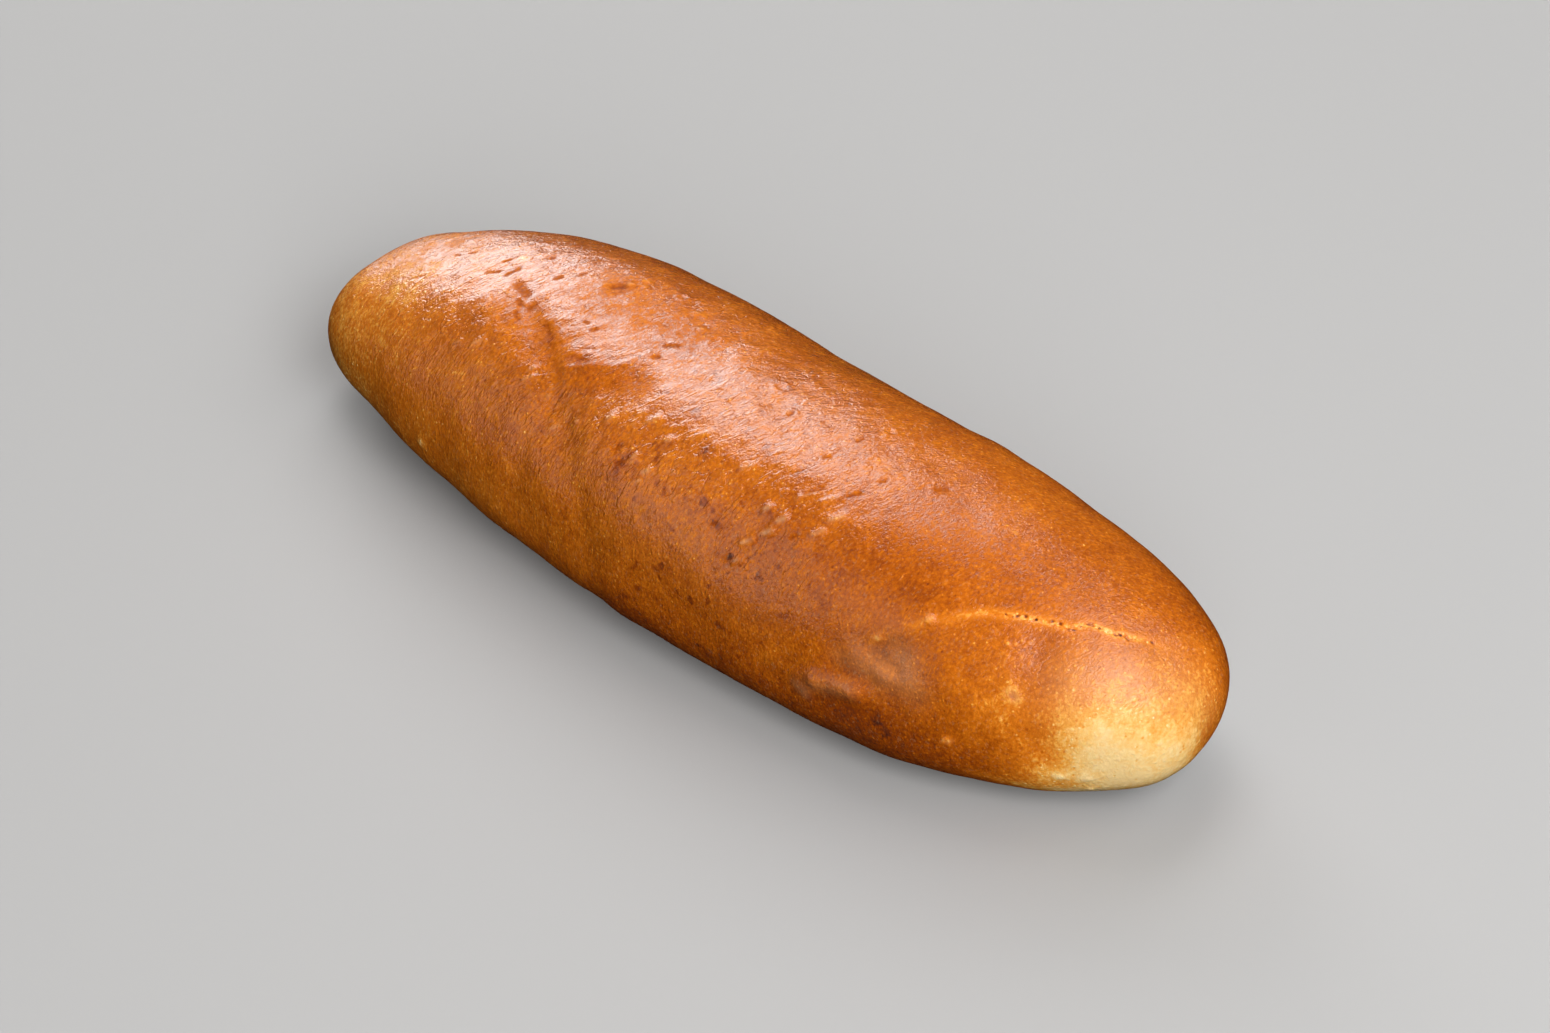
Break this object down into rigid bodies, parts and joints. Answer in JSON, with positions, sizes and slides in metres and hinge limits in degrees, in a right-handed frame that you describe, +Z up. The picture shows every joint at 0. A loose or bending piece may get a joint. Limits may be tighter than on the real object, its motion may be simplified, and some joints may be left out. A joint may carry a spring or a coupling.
{
  "type": "hot dog bun",
  "caption": "Long soft roll with rounded ends and a flat base, glazed and browned, with a fold of dough across one end. Uncut; holds a sausage once sliced.",
  "frame": {"origin": "under the middle of the roll, on the plane of its flat base", "axes": "+X along the roll towards the end with the fold, +Y towards the far side in the picture, +Z up"},
  "size_m": [0.1706, 0.0564, 0.0401],
  "materials": {
    "crust": "glazed golden brown bread crust, satin to glossy, paler at the folded end and along the base"
  },
  "bodies": {
    "root": {"bun": "crust"}
  },
  "joints": []
}
